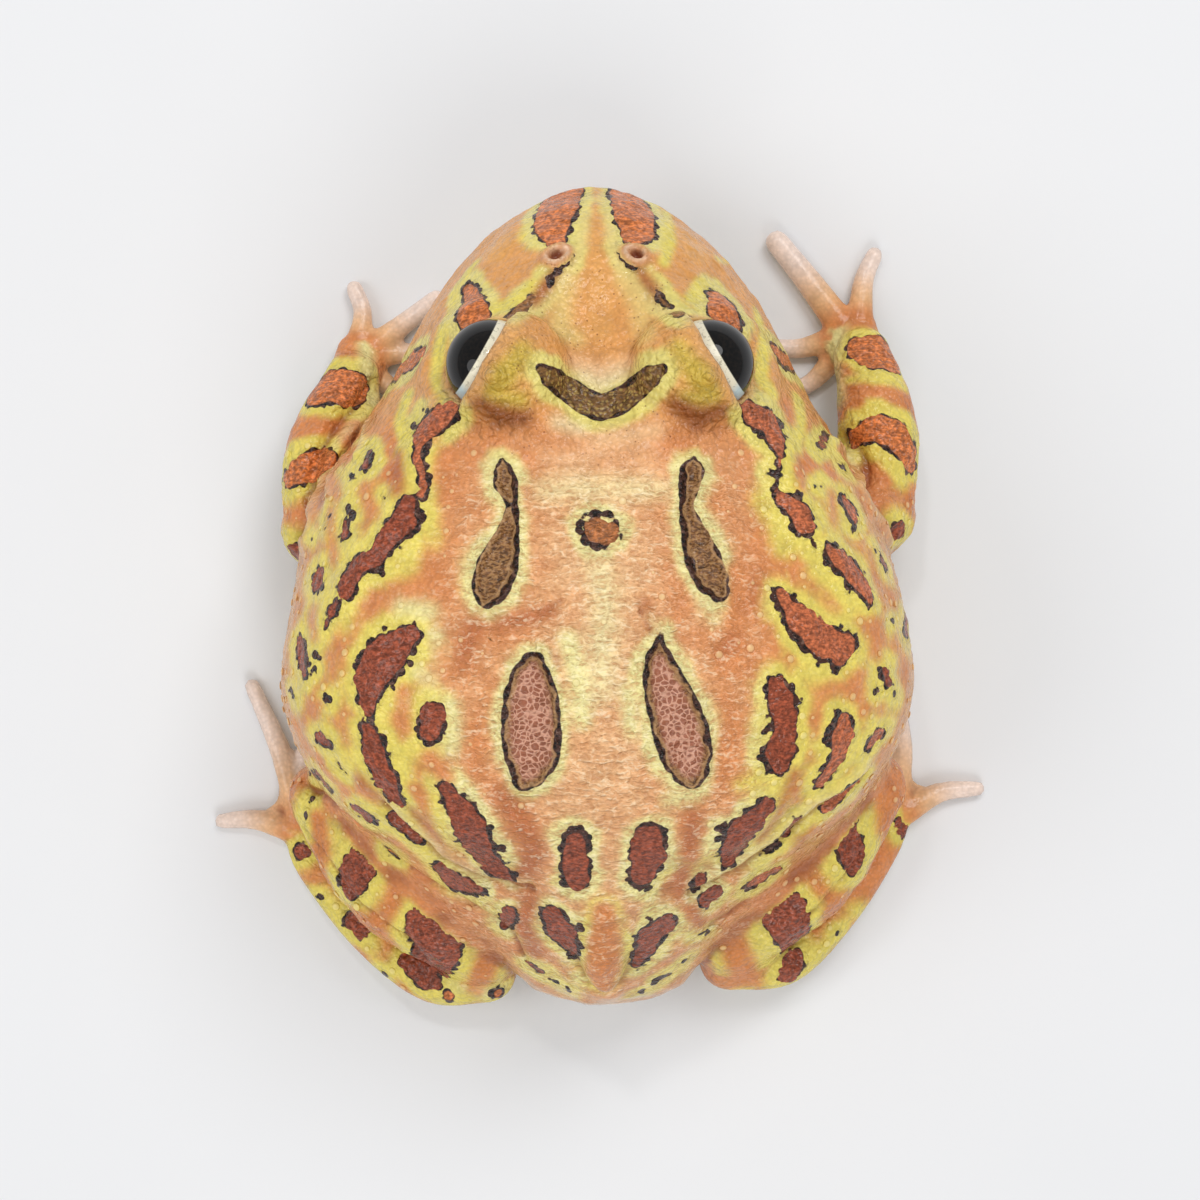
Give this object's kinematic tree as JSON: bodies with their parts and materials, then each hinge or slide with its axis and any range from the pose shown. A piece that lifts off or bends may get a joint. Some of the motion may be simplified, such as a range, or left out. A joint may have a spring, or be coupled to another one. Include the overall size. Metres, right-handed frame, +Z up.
{
  "type": "horned frog",
  "caption": "Life-size still model of an Argentine horned frog at rest, with a broad head, horned eyelids, and splayed hands and feet, lying on its belly.",
  "frame": {"origin": "middle of the box round the frog, on the floor under it", "axes": "+Z up, the head towards -Y, the frog's left side at +X"},
  "size_m": [0.0969, 0.1012, 0.0462],
  "materials": {
    "skin": "moist satin, orange and yellow with dark-edged brown blotches",
    "eye": "wet gloss, near black with a cream rim"
  },
  "bodies": {
    "root": {"head": "skin", "lower_jaw": "skin", "torso": "skin", "eye_left": "eye", "eye_right": "eye", "eyelid_horn_left": "skin", "eyelid_horn_right": "skin", "upper_arm_left": "skin", "upper_arm_right": "skin", "forearm_left": "skin", "forearm_right": "skin", "hand_left": "skin", "hand_right": "skin", "thigh_left": "skin", "thigh_right": "skin", "shank_left": "skin", "shank_right": "skin", "foot_left": "skin", "foot_right": "skin"}
  },
  "joints": []
}
